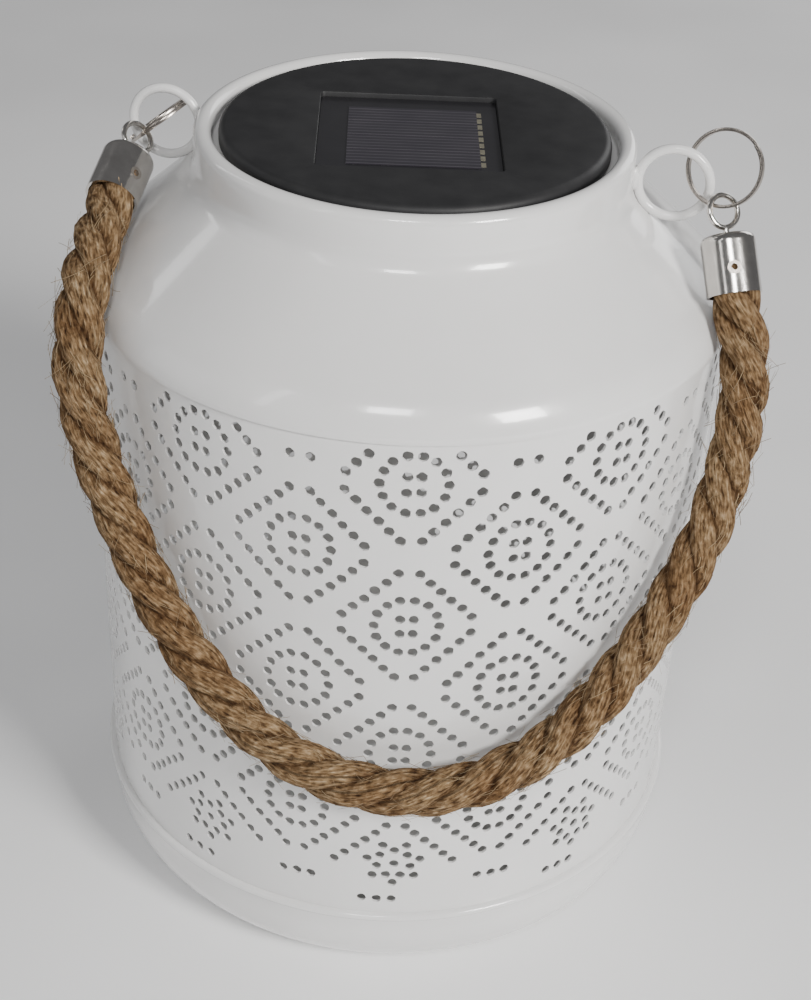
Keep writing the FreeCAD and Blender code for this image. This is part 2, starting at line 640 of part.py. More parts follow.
UPRIGHT = FreeCAD.Rotation(Vector(1, 0, 0), 90)
shoulder_shell()
perforated_sleeve()
base_pan()
cap_places = {}
for side, places in SIDES.items():
    hanger_ring(side, places["sign"])
    split_ring(side, places)
    place = cap_places[side] = eye_place(places)
    swivel = FreeCAD.Rotation(Vector(0, 0, 1), places["eye_turn"])
    cap_eye(side, FreeCAD.Placement(place.Base, place.Rotation * swivel))
    facing = place.Rotation.inverted().multVec(Vector(*places["screw_way"]))
    facing.z = 0
    screw_turn = FreeCAD.Rotation(Vector(0, 0, 1), facing.normalize())
    rope_cap(side, place, screw_turn)
    set_screw(side, place, screw_turn)
rope_handle(cap_places)
lid_disc()
solar_panel()
lid_housing()
battery_door()
battery()
contacts()
electronics()
switch()
housing_screws()
write_parts()
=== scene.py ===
import math
import random

import bmesh
import bpy
from mathutils import Matrix, Vector, geometry, kdtree, noise


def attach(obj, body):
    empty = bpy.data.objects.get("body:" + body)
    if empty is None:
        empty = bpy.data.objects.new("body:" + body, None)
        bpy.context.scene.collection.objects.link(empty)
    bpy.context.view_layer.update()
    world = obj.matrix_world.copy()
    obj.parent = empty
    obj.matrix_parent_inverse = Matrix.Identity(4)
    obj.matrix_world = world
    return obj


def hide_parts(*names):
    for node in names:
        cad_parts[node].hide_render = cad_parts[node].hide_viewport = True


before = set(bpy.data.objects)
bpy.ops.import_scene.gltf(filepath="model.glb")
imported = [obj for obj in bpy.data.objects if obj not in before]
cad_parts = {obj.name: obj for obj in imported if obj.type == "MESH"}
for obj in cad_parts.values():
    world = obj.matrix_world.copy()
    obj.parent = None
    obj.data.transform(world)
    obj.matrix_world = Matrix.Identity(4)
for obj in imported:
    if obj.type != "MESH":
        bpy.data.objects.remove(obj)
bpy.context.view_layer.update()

MM = 0.001
UP = Vector((0, 0, 1))


# ---------------------------------------------------------------- mesh helpers

def make_piece(name, verts, faces, body, material, sharp=30, uvs=None):
    """A mesh piece that rides on a body, smooth except at edges sharper than an angle."""
    mesh = bpy.data.meshes.new(name)
    mesh.from_pydata(verts, [], faces)
    if uvs:
        layer = mesh.uv_layers.new(name="along")
        for loop in mesh.loops:
            layer.data[loop.index].uv = uvs[loop.vertex_index]
    mesh.materials.append(material)
    mesh.shade_smooth()
    mesh.set_sharp_from_angle(angle=math.radians(sharp))
    mesh.validate()
    piece = bpy.data.objects.new(name, mesh)
    bpy.context.scene.collection.objects.link(piece)
    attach(piece, body)
    return piece


def arc(centre, radius, first, last, steps):
    """Points of an arc in a profile, angles in degrees."""
    angles = (math.radians(first + (last - first) * i / steps) for i in range(steps + 1))
    return [(centre[0] + radius * math.cos(a), centre[1] + radius * math.sin(a)) for a in angles]


def lathe(profile, segments, closed=True):
    """Turn a profile of (radius, height) in mm about Z; points on the axis become one vertex."""
    verts, faces, rings = [], [], []
    for radius, height in profile:
        count = 1 if radius < 1e-6 else segments
        rings.append((len(verts), count))
        for i in range(count):
            a = 2 * math.pi * i / segments
            verts.append((radius * math.cos(a) * MM, radius * math.sin(a) * MM, height * MM))
    pairs = list(zip(rings, rings[1:])) + ([(rings[-1], rings[0])] if closed else [])
    for (low, low_count), (high, high_count) in pairs:
        if low_count == 1 and high_count == 1:
            continue
        for i in range(segments):
            j = (i + 1) % segments
            corners = [low + i % low_count, low + j % low_count,
                       high + j % high_count, high + i % high_count]
            faces.append(tuple(dict.fromkeys(corners)))
    return verts, faces


def frames_along(points):
    """A tangent and two normals at each point of a path, with no twist of their own."""
    tangents = [(points[min(i + 1, len(points) - 1)] - points[max(i - 1, 0)]).normalized()
                for i in range(len(points))]
    normal = tangents[0].orthogonal().normalized()
    frames = []
    for tangent in tangents:
        normal = (normal - tangent * normal.dot(tangent)).normalized()
        frames.append((tangent, normal, tangent.cross(normal)))
    return frames


def tube_faces(rows, sides):
    """Faces of a closed tube with that many rows of vertices, its two ends last."""
    faces = []
    for i in range(rows - 1):
        for k in range(sides):
            j = (k + 1) % sides
            faces.append((i * sides + k, i * sides + j, (i + 1) * sides + j, (i + 1) * sides + k))
    faces.append(tuple(reversed(range(sides))))
    faces.append(tuple(range((rows - 1) * sides, rows * sides)))
    return faces


def tube(points, radius, sides, shape=None):
    """Vertices, faces and (round, along) coordinates of a closed tube on a path."""
    verts, uvs = [], []
    along = 0.0
    for i, (point, (_, n, b)) in enumerate(zip(points, frames_along(points))):
        if i:
            along += (point - points[i - 1]).length
        for k in range(sides):
            a = 2 * math.pi * k / sides
            reach = radius * (shape(i, a) if shape else 1)
            verts.append(point + (n * math.cos(a) + b * math.sin(a)) * reach)
            uvs.append((k / sides, along))
    return verts, tube_faces(len(points), sides), uvs


def joined(parts):
    """Several (verts, faces, uvs) as one."""
    verts, faces, uvs = [], [], []
    for part_verts, part_faces, part_uvs in parts:
        start = len(verts)
        verts += part_verts
        uvs += part_uvs
        faces += [tuple(v + start for v in face) for face in part_faces]
    return verts, faces, uvs


# ---------------------------------------------------------------- materials

def new_material(name, color, roughness, metallic=0.0, **sockets):
    """A material, its shader and its node tree."""
    material = bpy.data.materials.new(name)
    material.use_nodes = True
    tree = material.node_tree
    shader = tree.nodes["Principled BSDF"]
    shader.inputs["Base Color"].default_value = (*color, 1)
    shader.inputs["Roughness"].default_value = roughness
    shader.inputs["Metallic"].default_value = metallic
    for socket, value in sockets.items():
        shader.inputs[socket.replace("_", " ")].default_value = value
    return material, tree, shader


def add_noise(tree, scale, detail=3.0, stretch=None, source="Object"):
    """Noise over the piece, as a factor from 0 to 1."""
    place = tree.nodes.new("ShaderNodeTexCoord")
    texture = tree.nodes.new("ShaderNodeTexNoise")
    texture.inputs["Scale"].default_value = scale
    texture.inputs["Detail"].default_value = detail
    out = place.outputs[source]
    if stretch:
        mapping = tree.nodes.new("ShaderNodeMapping")
        mapping.inputs["Scale"].default_value = stretch
        tree.links.new(out, mapping.inputs["Vector"])
        out = mapping.outputs["Vector"]
    tree.links.new(out, texture.inputs["Vector"])
    return texture.outputs["Fac"]


def ramp(tree, factor, stops):
    """Colours over a factor, each stop a position and a colour."""
    node = tree.nodes.new("ShaderNodeValToRGB")
    elements = node.color_ramp.elements
    while len(elements) < len(stops):
        elements.new(0.5)
    for element, (position, color) in zip(elements, stops):
        element.position = position
        element.color = (*color, 1)
    tree.links.new(factor, node.inputs["Fac"])
    return node.outputs["Color"]


def spread(tree, factor, low, high):
    """A factor stretched to a range."""
    node = tree.nodes.new("ShaderNodeMapRange")
    node.inputs["To Min"].default_value = low
    node.inputs["To Max"].default_value = high
    tree.links.new(factor, node.inputs["Value"])
    return node.outputs["Result"]


def darkened(tree, color, shade, share):
    """A colour multiplied by a shade."""
    mix = tree.nodes.new("ShaderNodeMix")
    mix.data_type, mix.blend_type = "RGBA", "MULTIPLY"
    mix.inputs["Factor"].default_value = share
    tree.links.new(color, mix.inputs["A"])
    tree.links.new(shade, mix.inputs["B"])
    return mix.outputs["Result"]


def add_bump(tree, shader, height, strength, distance):
    """Fine relief on a shader."""
    bump = tree.nodes.new("ShaderNodeBump")
    bump.inputs["Strength"].default_value = strength
    bump.inputs["Distance"].default_value = distance
    tree.links.new(height, bump.inputs["Height"])
    tree.links.new(bump.outputs["Normal"], shader.inputs["Normal"])


def enamel_material():
    """Glossy warm-white enamel with faint orange peel and small changes of shade."""
    material, tree, shader = new_material("white_enamel", (0.78, 0.775, 0.765), 0.16,
                                          Coat_Weight=0.5, Coat_Roughness=0.05)
    tone = ramp(tree, add_noise(tree, 22, 4),
                [(0.3, (0.74, 0.735, 0.725)), (0.7, (0.81, 0.805, 0.795))])
    tree.links.new(tone, shader.inputs["Base Color"])
    tree.links.new(spread(tree, add_noise(tree, 60, 3), 0.12, 0.24), shader.inputs["Roughness"])
    add_bump(tree, shader, add_noise(tree, 380, 2), 0.06, 0.0004)
    return material


def jute_material():
    """Dry tan fibre with fine lines along each strand, their dark gaps partly painted shade, and
    painted shade where the strand lies deep in a groove.
    """
    material, tree, shader = new_material("jute", (0.25, 0.155, 0.075), 0.95)
    shader.inputs["Specular IOR Level"].default_value = 0.15
    fibres = add_noise(tree, 1.0, 7, (34.0, 420.0, 1.0), "UV")
    tangle = add_noise(tree, 520, 5)
    blotches = add_noise(tree, 75, 3)
    # Partly the jute's own tone and partly painted shade: the dark end of this ramp, where the
    # fibre bump sinks, paints shade in the gaps between fibres.
    tone = ramp(tree, fibres, [(0.30, (0.050, 0.026, 0.013)), (0.43, (0.185, 0.115, 0.056)),
                               (0.56, (0.325, 0.220, 0.120)), (0.72, (0.54, 0.41, 0.255))])
    for factor, dark, edges, share in ((tangle, (0.40, 0.33, 0.27), (0.36, 0.58), 0.75),
                                       (blotches, (0.62, 0.52, 0.44), (0.34, 0.62), 0.8)):
        shade = ramp(tree, factor, [(edges[0], dark), (edges[1], (1, 1, 1))])
        tone = darkened(tree, tone, shade, share)
    # Painted shade: the colour darkens where the strand lies deep in a groove between strands.
    groove_shade = tree.nodes.new("ShaderNodeAttribute")
    groove_shade.attribute_name = "groove_shade"
    shade = ramp(tree, groove_shade.outputs["Fac"], [(0.28, (1, 1, 1)), (1.0, (0.32, 0.24, 0.18))])
    tree.links.new(darkened(tree, tone, shade, 1.0), shader.inputs["Base Color"])
    relief = tree.nodes.new("ShaderNodeMath")
    relief.operation = "ADD"
    tree.links.new(fibres, relief.inputs[0])
    tree.links.new(tangle, relief.inputs[1])
    add_bump(tree, shader, relief.outputs["Value"], 1.0, 0.0011)
    return material


def fibre_material():
    """The loose fibres, which are plainer than the strands."""
    material, tree, shader = new_material("jute_fibre", (0.45, 0.33, 0.19), 0.9)
    tone = ramp(tree, add_noise(tree, 160, 2),
                [(0.3, (0.13, 0.08, 0.04)), (0.7, (0.38, 0.28, 0.16))])
    tree.links.new(tone, shader.inputs["Base Color"])
    return material


def nickel_material(name, color, low, high):
    """Polished nickel plate with faint wipe marks."""
    material, tree, shader = new_material(name, color, 0.15, 1.0)
    marks = add_noise(tree, 1.0, 4, (900, 900, 120))
    tree.links.new(spread(tree, marks, low, high), shader.inputs["Roughness"])
    tone = ramp(tree, add_noise(tree, 300, 3),
                [(0.3, tuple(c * 0.86 for c in color)), (0.7, color)])
    tree.links.new(tone, shader.inputs["Base Color"])
    add_bump(tree, shader, add_noise(tree, 700, 2), 0.05, 0.0002)
    return material


def lid_material():
    """Matt charcoal moulded plastic with a fine grain."""
    material, tree, shader = new_material("black_plastic", (0.021, 0.021, 0.022), 0.5)
    shader.inputs["Specular IOR Level"].default_value = 0.3
    tone = ramp(tree, add_noise(tree, 140, 4),
                [(0.3, (0.018, 0.018, 0.019)), (0.7, (0.027, 0.027, 0.028))])
    tree.links.new(tone, shader.inputs["Base Color"])
    tree.links.new(spread(tree, add_noise(tree, 60, 3), 0.42, 0.58), shader.inputs["Roughness"])
    add_bump(tree, shader, add_noise(tree, 2600, 2), 0.18, 0.0001)
    return material


def plain_material(name, color, roughness, metallic=0.0, grain=200, **sockets):
    """A small part's material: one colour with a fine change of shade and relief."""
    material, tree, shader = new_material(name, color, roughness, metallic, **sockets)
    dark, pale = tuple(c * 0.85 for c in color), tuple(min(c * 1.1, 1) for c in color)
    tone = ramp(tree, add_noise(tree, grain, 3), [(0.3, dark), (0.7, pale)])
    tree.links.new(tone, shader.inputs["Base Color"])
    add_bump(tree, shader, add_noise(tree, grain * 6, 2), 0.1, 0.0001)
    return material


# How far the window is turned in the lid, in degrees, and the scale of the waves that draw
# the fingers on its cells.
WINDOW_TURN = 12
FINGER_WAVES = 190


def cell_material():
    """Dark purple-grey silicon with fine pale fingers across it."""
    material, tree, shader = new_material("silicon", (0.03, 0.026, 0.034), 0.28, Coat_Weight=0.4,
                                          Coat_Roughness=0.12)
    place = tree.nodes.new("ShaderNodeTexCoord")
    turn = tree.nodes.new("ShaderNodeMapping")
    turn.inputs["Rotation"].default_value = (0, 0, -math.radians(WINDOW_TURN))
    tree.links.new(place.outputs["Object"], turn.inputs["Vector"])
    lines = tree.nodes.new("ShaderNodeTexWave")
    lines.bands_direction = "Y"
    lines.inputs["Scale"].default_value = FINGER_WAVES
    lines.inputs["Distortion"].default_value = 0.0
    tree.links.new(turn.outputs["Vector"], lines.inputs["Vector"])
    fingers = ramp(tree, lines.outputs["Fac"],
                   [(0.80, (0.026, 0.023, 0.030)), (0.97, (0.085, 0.078, 0.09))])
    patches = ramp(tree, add_noise(tree, 120, 4), [(0.3, (0.7, 0.7, 0.75)), (0.7, (1.0, 1.0, 1.0))])
    tree.links.new(darkened(tree, fingers, patches, 0.8), shader.inputs["Base Color"])
    return material


enamel = enamel_material()
jute = jute_material()
fibre = fibre_material()
nickel = nickel_material("nickel", (0.66, 0.635, 0.60), 0.10, 0.24)
dark_nickel = nickel_material("dark_nickel", (0.50, 0.455, 0.41), 0.16, 0.34)
black = lid_material()
NODE_MATERIALS = {
    enamel: ["right_hanger_ring", "left_hanger_ring"],
    nickel: ["right_rope_cap", "left_rope_cap", "right_cap_eye", "left_cap_eye"],
    dark_nickel: ["right_set_screw", "left_set_screw"],
    black: ["lid_housing", "battery_door"],
    plain_material("panel_board", (0.013, 0.0125, 0.0145), 0.33, 0, 150, Coat_Weight=0.3):
        ["solar_panel"],
    cell_material(): ["solar_cells"],
    plain_material("tinned_copper", (0.62, 0.58, 0.44), 0.38, 0.9, 900): ["bus_bar"],
    plain_material("steel", (0.55, 0.55, 0.56), 0.32, 1.0):
        ["door_screw", "contact_plate", "contact_spring", "housing_screws"],
    plain_material("battery_sleeve", (0.05, 0.19, 0.11), 0.25): ["battery"],
    plain_material("circuit_board", (0.02, 0.16, 0.05), 0.4): ["circuit_board"],
    plain_material("clear_led", (0.93, 0.90, 0.72), 0.08, 0, 80, Transmission_Weight=0.6):
        ["led"],
    plain_material("frosted_lens", (0.88, 0.88, 0.86), 0.45, 0, 80, Transmission_Weight=0.5):
        ["led_lens"],
    plain_material("wire_sleeve", (0.45, 0.03, 0.03), 0.5): ["panel_wires"],
    plain_material("switch_plastic", (0.04, 0.04, 0.042), 0.45): ["switch_body", "switch_knob"],
}
for material, names in NODE_MATERIALS.items():
    for name in names:
        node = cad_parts[name]
        node.data.materials.clear()
        node.data.materials.append(material)


# ---------------------------------------------------------------- camera, lights and floor

# The camera's place in metres, and its heading, tilt and roll in degrees.
CAMERA_PLACE = Vector((0.0676, -0.3668, 0.3483))
CAMERA_TURN, CAMERA_DOWN, CAMERA_ROLL = -10.19, 33.98, 2.95
CAMERA_LENS, CAMERA_SHIFT = 62.46, (0.0016, 0.0014)
# The point that the lights look at, and half the floor's width, in metres.
LIGHTS_AIM = Vector((0, 0, 0.12))
FLOOR_HALF = 3


def aim(turn, down, roll):
    """A camera's rotation from its heading, its tilt below the horizon and its roll."""
    turn, down, roll = (math.radians(angle) for angle in (turn, down, roll))
    ahead = Vector((math.sin(turn) * math.cos(down), math.cos(turn) * math.cos(down),
                    -math.sin(down)))
    level = Vector((math.cos(turn), -math.sin(turn), 0))
    above = level.cross(ahead)
    right = level * math.cos(roll) + above * math.sin(roll)
    return Matrix((right, right.cross(ahead), -ahead)).transposed()


camera_data = bpy.data.cameras.new("camera")
camera_data.lens = CAMERA_LENS
camera_data.shift_x, camera_data.shift_y = CAMERA_SHIFT
camera_data.clip_start = 0.01
camera = bpy.data.objects.new("camera", camera_data)
camera.matrix_world = aim(CAMERA_TURN, CAMERA_DOWN, CAMERA_ROLL).to_4x4()
camera.location = CAMERA_PLACE
bpy.context.scene.collection.objects.link(camera)
bpy.context.scene.camera = camera


def light(name, place, size, power, tint=(1, 1, 1), height=None):
    """An area light that looks at the lantern, square unless a height is given."""
    lamp = bpy.data.lights.new(name, "AREA")
    lamp.shape = "RECTANGLE"
    lamp.size, lamp.size_y = size, height or size
    lamp.energy, lamp.color = power, tint
    holder = bpy.data.objects.new(name, lamp)
    holder.location = place
    holder.rotation_euler = (LIGHTS_AIM - Vector(place)).to_track_quat("-Z", "Y").to_euler()
    bpy.context.scene.collection.objects.link(holder)


light("key", (0.95, -0.75, 0.85), 0.35, 22, tint=(1, 0.985, 0.965))
light("window", (0.10, -1.0, 1.15), 0.30, 6, height=0.22)
light("left", (-1.4, -0.5, 0.6), 0.7, 0.9, tint=(0.95, 0.97, 1))
light("strip", (-0.75, -1.0, 1.0), 0.10, 1.0, height=0.8)
light("side_strip", (-1.2, 0.3, 0.9), 0.12, 1.2, height=0.8)
light("back", (0.5, 1.1, 0.5), 0.6, 3)

world = bpy.data.worlds.new("world")
world.use_nodes = True
world.node_tree.nodes["Background"].inputs["Color"].default_value = (0.90, 0.90, 0.93, 1)
world.node_tree.nodes["Background"].inputs["Strength"].default_value = 0.17
bpy.context.scene.world = world

floor_mesh = bpy.data.meshes.new("floor")
floor_corners = [(-FLOOR_HALF, -FLOOR_HALF, 0), (FLOOR_HALF, -FLOOR_HALF, 0),
                 (FLOOR_HALF, FLOOR_HALF, 0), (-FLOOR_HALF, FLOOR_HALF, 0)]
floor_mesh.from_pydata(floor_corners, [], [(0, 1, 2, 3)])
floor_mesh.materials.append(plain_material("floor_paint", (0.93, 0.93, 0.93), 0.8, 0, 3))
floor = bpy.data.objects.new("floor", floor_mesh)
bpy.context.scene.collection.objects.link(floor)


# ---------------------------------------------------------------- the split rings

# The rings' radius and the distance between their coils in mm, their turns and steps.
SPLIT_RADIUS, COIL_PITCH, COIL_TURNS, COIL_STEPS = 8.4, 0.82, 1.92, 150
# The wire's half width and half depth in mm, and the scale, squareness and sides of its
# rounded section.
WIRE_HALF, WIRE_FILL = (0.45, 0.40), 0.93
WIRE_SQUARENESS, WIRE_SIDES = 0.6, 12
# Where in the first turn the wire steps over to the second coil, as parts of a turn.
STEP_START, STEP_LENGTH = 0.80, 0.16
# Each ring's centre in mm and its normal.
SPLIT_RINGS = {"right": ((69.7, -0.7, 198.5), (0.307, 0.887, -0.346)),
               "left": ((-61.7, 3.6, 192.3), (0.629, -0.08, -0.773))}


def coil_rise(turns):
    """How far along the ring's axis its wire is after some turns, in mm."""
    jump = min(max((turns - STEP_START) / STEP_LENGTH, 0), 1)
    return (jump * jump * (3 - 2 * jump) - 0.5) * COIL_PITCH


def make_split_ring(side, centre, normal):
    """A flat wire wound nearly twice round, with its two cut ends."""
    normal = Vector(normal).normalized()
    x_axis = normal.orthogonal().normalized()
    y_axis = normal.cross(x_axis)
    verts, section = [], []
    for k in range(WIRE_SIDES):
        a = 2 * math.pi * (k + 0.5) / WIRE_SIDES
        c, s = math.cos(a), math.sin(a)
        reach = WIRE_FILL / max(abs(c), abs(s)) ** WIRE_SQUARENESS
        section.append((c * WIRE_HALF[0] * reach, s * WIRE_HALF[1] * reach))
    for i in range(COIL_STEPS + 1):
        turns = COIL_TURNS * i / COIL_STEPS
        a = 2 * math.pi * turns
        outward = x_axis * math.cos(a) + y_axis * math.sin(a)
        middle = Vector(centre) + outward * SPLIT_RADIUS + normal * coil_rise(turns)
        verts += [(middle + outward * out + normal * along) * MM for out, along in section]
    faces = tube_faces(COIL_STEPS + 1, WIRE_SIDES)
    piece = make_piece(side + "_wound_ring", verts, faces, "links", dark_nickel, 50)
    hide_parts(side + "_split_ring")
    return piece


split_rings = [make_split_ring(side, *place) for side, place in SPLIT_RINGS.items()]


# ---------------------------------------------------------------- the rope

ROPE_RADIUS = 0.0055
# In mm: the y and z of both cap eyes, how far from its eye the rope begins in a cap, and how
# far from its eye it leaves the cap's line.
EYE_LINE = (-4.0, 190.8)
CAP_CEILING, ROPE_LEAVES = 9.3, 21
RIGHT_EYE, RIGHT_WAY = Vector((70.6, *EYE_LINE)), Vector((0.27, -0.53, -0.80)).normalized()
LEFT_EYE, LEFT_WAY = Vector((-64.6, *EYE_LINE)), Vector((-0.04, -0.90, -0.43)).normalized()
# The rope's route between its caps in mm.
ROPE_ROUTE = [
    (-63.8, -36.5, 178), (-63, -46.3, 173.8), (-62, -54.3, 167.6), (-60.7, -59.8, 159.4),
    (-58.6, -62.2, 149), (-54.8, -64, 137.3), (-48.5, -68, 123.4), (-38.5, -73.5, 107.5),
    (-27, -78.5, 94.5), (-13.5, -82, 83.2), (1.5, -83.2, 76), (17, -81.4, 72.6),
    (32, -76.8, 73.2), (46, -69.5, 78.2), (57.5, -60.5, 87.8), (67.2, -49, 99.8),
    (75, -36.8, 113.2), (79.6, -27.6, 126.8), (81.3, -23, 140.5), (81.6, -20.8, 152.5),
    (80.6, -19.2, 163.6),
]
ROUTE_SAMPLES = 16


def smooth_route(points, samples):
    """Points read from a smooth spline whose control points are the route."""
    curve = bpy.data.curves.new("route", "CURVE")
    curve.dimensions = "3D"
    spline = curve.splines.new("NURBS")
    spline.points.add(len(points) - 1)
    for place, point in zip(spline.points, points):
        place.co = (*point, 1)
    spline.order_u = 3
    spline.use_endpoint_u = True
    spline.resolution_u = samples
    holder = bpy.data.objects.new("route", curve)
    bpy.context.scene.collection.objects.link(holder)
    bpy.context.view_layer.update()
    mesh = bpy.data.meshes.new_from_object(holder)
    line = [vertex.co.copy() for vertex in mesh.vertices]
    bpy.data.objects.remove(holder)
    return line


def rope_line():
    """The rope's centreline, from ceiling to ceiling of its two caps."""
    left = [LEFT_EYE + LEFT_WAY * CAP_CEILING, LEFT_EYE + LEFT_WAY * ROPE_LEAVES]
    right = [RIGHT_EYE + RIGHT_WAY * ROPE_LEAVES, RIGHT_EYE + RIGHT_WAY * CAP_CEILING]
    points = left + [Vector(point) for point in ROPE_ROUTE] + right
    return smooth_route([point * MM for point in points], ROUTE_SAMPLES)


# Lengths from here on in metres. A strand turns once round the rope in STRAND_PITCH, and each
# ridge on a strand takes the next one's place in YARN_STEP.
STRANDS, STRAND_PITCH, STRAND_START, STRAND_SIDES = 3, 0.034, 0.9, 40
STRAND_RADIUS, STRAND_OFFSET, STRAND_WANDER = 0.00320, 0.00235, 0.10
YARNS, YARN_STEP = 5, 0.021
# Relief on a strand, as parts of its radius.
YARN_DEPTH, LUMP, ROUGHNESS = 0.075, 0.11, 0.05
# How far below the rope's outside the painted groove shade begins, and how much further it is full.
GROOVE_SHADE_START, GROOVE_SHADE_SPAN = 0.0002, 0.0014


def strand_lines(line):
    """The centrelines of the rope's strands, twisted round its own."""
    frames, lines, along = frames_along(line), [[] for _ in range(STRANDS)], 0.0
    for i, (point, (_, n, b)) in enumerate(zip(line, frames)):
        if i:
            along += (point - line[i - 1]).length
        for k in range(STRANDS):
            a = STRAND_START - 2 * math.pi * (along / STRAND_PITCH + k / STRANDS)
            wander = noise.noise(Vector((along * 90, k * 7.3, 0)))
            reach = STRAND_OFFSET * (1 + STRAND_WANDER * wander)
            lines[k].append(point + (n * math.cos(a) + b * math.sin(a)) * reach)
    return lines


def groove_shade_values(verts, line):
    """How deep each vertex of the rope lies below its outside, from 0 outside to 1 in a groove, as
    the share of painted groove shade.
    """
    tree = kdtree.KDTree(len(line))
    for i, point in enumerate(line):
        tree.insert(point, i)
    tree.balance()
    values = []
    for vertex in verts:
        depth = ROPE_RADIUS - tree.find(vertex)[2]
        values.append(min(max((depth - GROOVE_SHADE_START) / GROOVE_SHADE_SPAN, 0), 1))
    return values


def make_rope():
    """Three twisted jute strands riding on the handle, in place of the CAD rope."""
    line = rope_line()
    spacing = sum((b - a).length for a, b in zip(line, line[1:])) / (len(line) - 1)
    parts = []
    for k, strand in enumerate(strand_lines(line)):
        def uneven(i, a, k=k):
            along = i * spacing
            yarn = math.cos(YARNS * a + 2 * math.pi * along / YARN_STEP + k)
            lump = noise.noise(Vector((along * 160, math.cos(a) * 1.6, math.sin(a) * 1.6 + k * 9)))
            rough = noise.noise(Vector((along * 700, math.cos(a) * 5, math.sin(a) * 5 + k * 5)))
            return 1 + YARN_DEPTH * (abs(yarn) ** 0.6 - 0.7) + LUMP * lump + ROUGHNESS * rough
        parts.append(tube(strand, STRAND_RADIUS, STRAND_SIDES, uneven))
    verts, faces, uvs = joined(parts)
    rope = make_piece("rope", verts, faces, "handle", jute, 180, uvs)
    # Each vertex's depth below the rope's outside, which the jute material turns into painted
    # groove shade.
    groove_shade = rope.data.attributes.new("groove_shade", "FLOAT", "POINT")
    groove_shade.data.foreach_set("value", groove_shade_values(verts, line))
    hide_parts("rope_handle")
    return line


FUZZ_COUNT, FUZZ_STEPS, FUZZ_SIDES = 1500, 5, 3
# The share of the rope at each end, in its cap and just past it, that has no loose fibres.
FUZZ_MARGIN = 0.04


def make_fuzz(line):
    """Loose fibres that stand off the strands, each a thin bent wisp."""
    rng = random.Random(7)
    frames = frames_along(line)
    parts = []
    first, last = int(len(line) * FUZZ_MARGIN), int(len(line) * (1 - FUZZ_MARGIN))
    for _ in range(FUZZ_COUNT):
        i = rng.randrange(first, last)
        tangent, n, b = frames[i]
        a = rng.uniform(0, 2 * math.pi)
        outward = n * math.cos(a) + b * math.sin(a)
        around = tangent.cross(outward)
        start = line[i] + outward * ROPE_RADIUS * rng.uniform(0.86, 0.98)
        lay = (tangent * rng.choice((-1, 1)) + around * rng.uniform(-0.9, 0.9)).normalized()
        length = rng.uniform(0.002, 0.007)
        lift = rng.uniform(0.02, 0.42) ** 1.5
        curl = rng.uniform(-0.5, 0.5)
        points = []
        for step in range(FUZZ_STEPS + 1):
            t = step / FUZZ_STEPS
            points.append(start + lay * length * t + outward * length * lift * t * (1.3 - t * 0.6)
                          + around * length * curl * t * t)
        parts.append(tube(points, rng.uniform(0.00003, 0.00008), FUZZ_SIDES))
    verts, faces, uvs = joined(parts)
    make_piece("rope_fuzz", verts, faces, "handle", fibre, 180, uvs)


make_fuzz(make_rope())


# ---------------------------------------------------------------- the jar

# All in mm. A profile's corner, fillet and bead are given by centre and radius.
SKIRT, SHEET = 76.2, 0.6
SEAM_TOP, SEAM_BOTTOM = 161.8, 25.8
CORNER, CORNER_RADIUS, CONE_ANGLE = (61.2, 158.2), 15.75, 48
FILLET, FILLET_RADIUS = (57.2, 192.4), 7
NECK, BEAD, BEAD_RADIUS = 50.2, (48.2, 197.7), 2
LEDGE, LEDGE_RADIUS = 195.6, 37.2
PAN_CORNER, PAN_RADIUS = (57.4, 18.8), 18.8
PAN_BEAD, PAN_BEAD_RADIUS = (SKIRT, 24.8), 1.0
JAR_SEGMENTS = 240


def make_shoulder():
    """Skirt, corner, cone, neck, rolled rim, ledge, and the same again inside."""
    throat = BEAD[0] - BEAD_RADIUS
    outer = [(SKIRT, SEAM_TOP), (SKIRT, SEAM_TOP + SHEET)]
    outer += arc(CORNER, CORNER_RADIUS, 17.75, CONE_ANGLE, 14)
    outer += arc(FILLET, FILLET_RADIUS, 180 + CONE_ANGLE, 180, 10)
    outer += [(NECK, 195), *arc(BEAD, BEAD_RADIUS, 0, 180, 14), (throat, LEDGE + 0.5)]
    outer += arc((throat - 0.5, LEDGE + 0.5), 0.5, 0, -90, 4)
    outer += [(LEDGE_RADIUS + 0.2, LEDGE), (LEDGE_RADIUS, LEDGE - 0.2)]
    inner = [(LEDGE_RADIUS, LEDGE - SHEET), (throat + SHEET, LEDGE - SHEET)]
    inner += [*arc(BEAD, BEAD_RADIUS - SHEET, 180, 0, 8), (NECK - SHEET, FILLET[1])]
    inner += arc(FILLET, FILLET_RADIUS + SHEET, 180, 180 + CONE_ANGLE, 8)
    inner += arc(CORNER, CORNER_RADIUS - SHEET, CONE_ANGLE, 18.1, 8)
    inner += [(SKIRT - SHEET, SEAM_TOP)]
    verts, faces = lathe(outer + inner, JAR_SEGMENTS)
    piece = make_piece("enamelled_shoulder", verts, faces, "root", enamel, 40)
    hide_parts("shoulder_shell")


def make_pan():
    """The bottom pan with its rolled bead."""
    outer = [(0, 0), (PAN_CORNER[0], 0), *arc(PAN_CORNER, PAN_RADIUS, -84, 0, 14)]
    outer += [(SKIRT, 23.4), *arc(PAN_BEAD, PAN_BEAD_RADIUS, -80, 90, 10)]
    inner = [(SKIRT - SHEET, SEAM_BOTTOM), (SKIRT - SHEET, PAN_CORNER[1])]
    inner += [*arc(PAN_CORNER, PAN_RADIUS - SHEET, 0, -90, 12), (0, SHEET)]
    verts, faces = lathe(outer + inner, JAR_SEGMENTS, closed=False)
    piece = make_piece("enamelled_pan", verts, faces, "root", enamel, 40)
    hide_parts("base_pan")


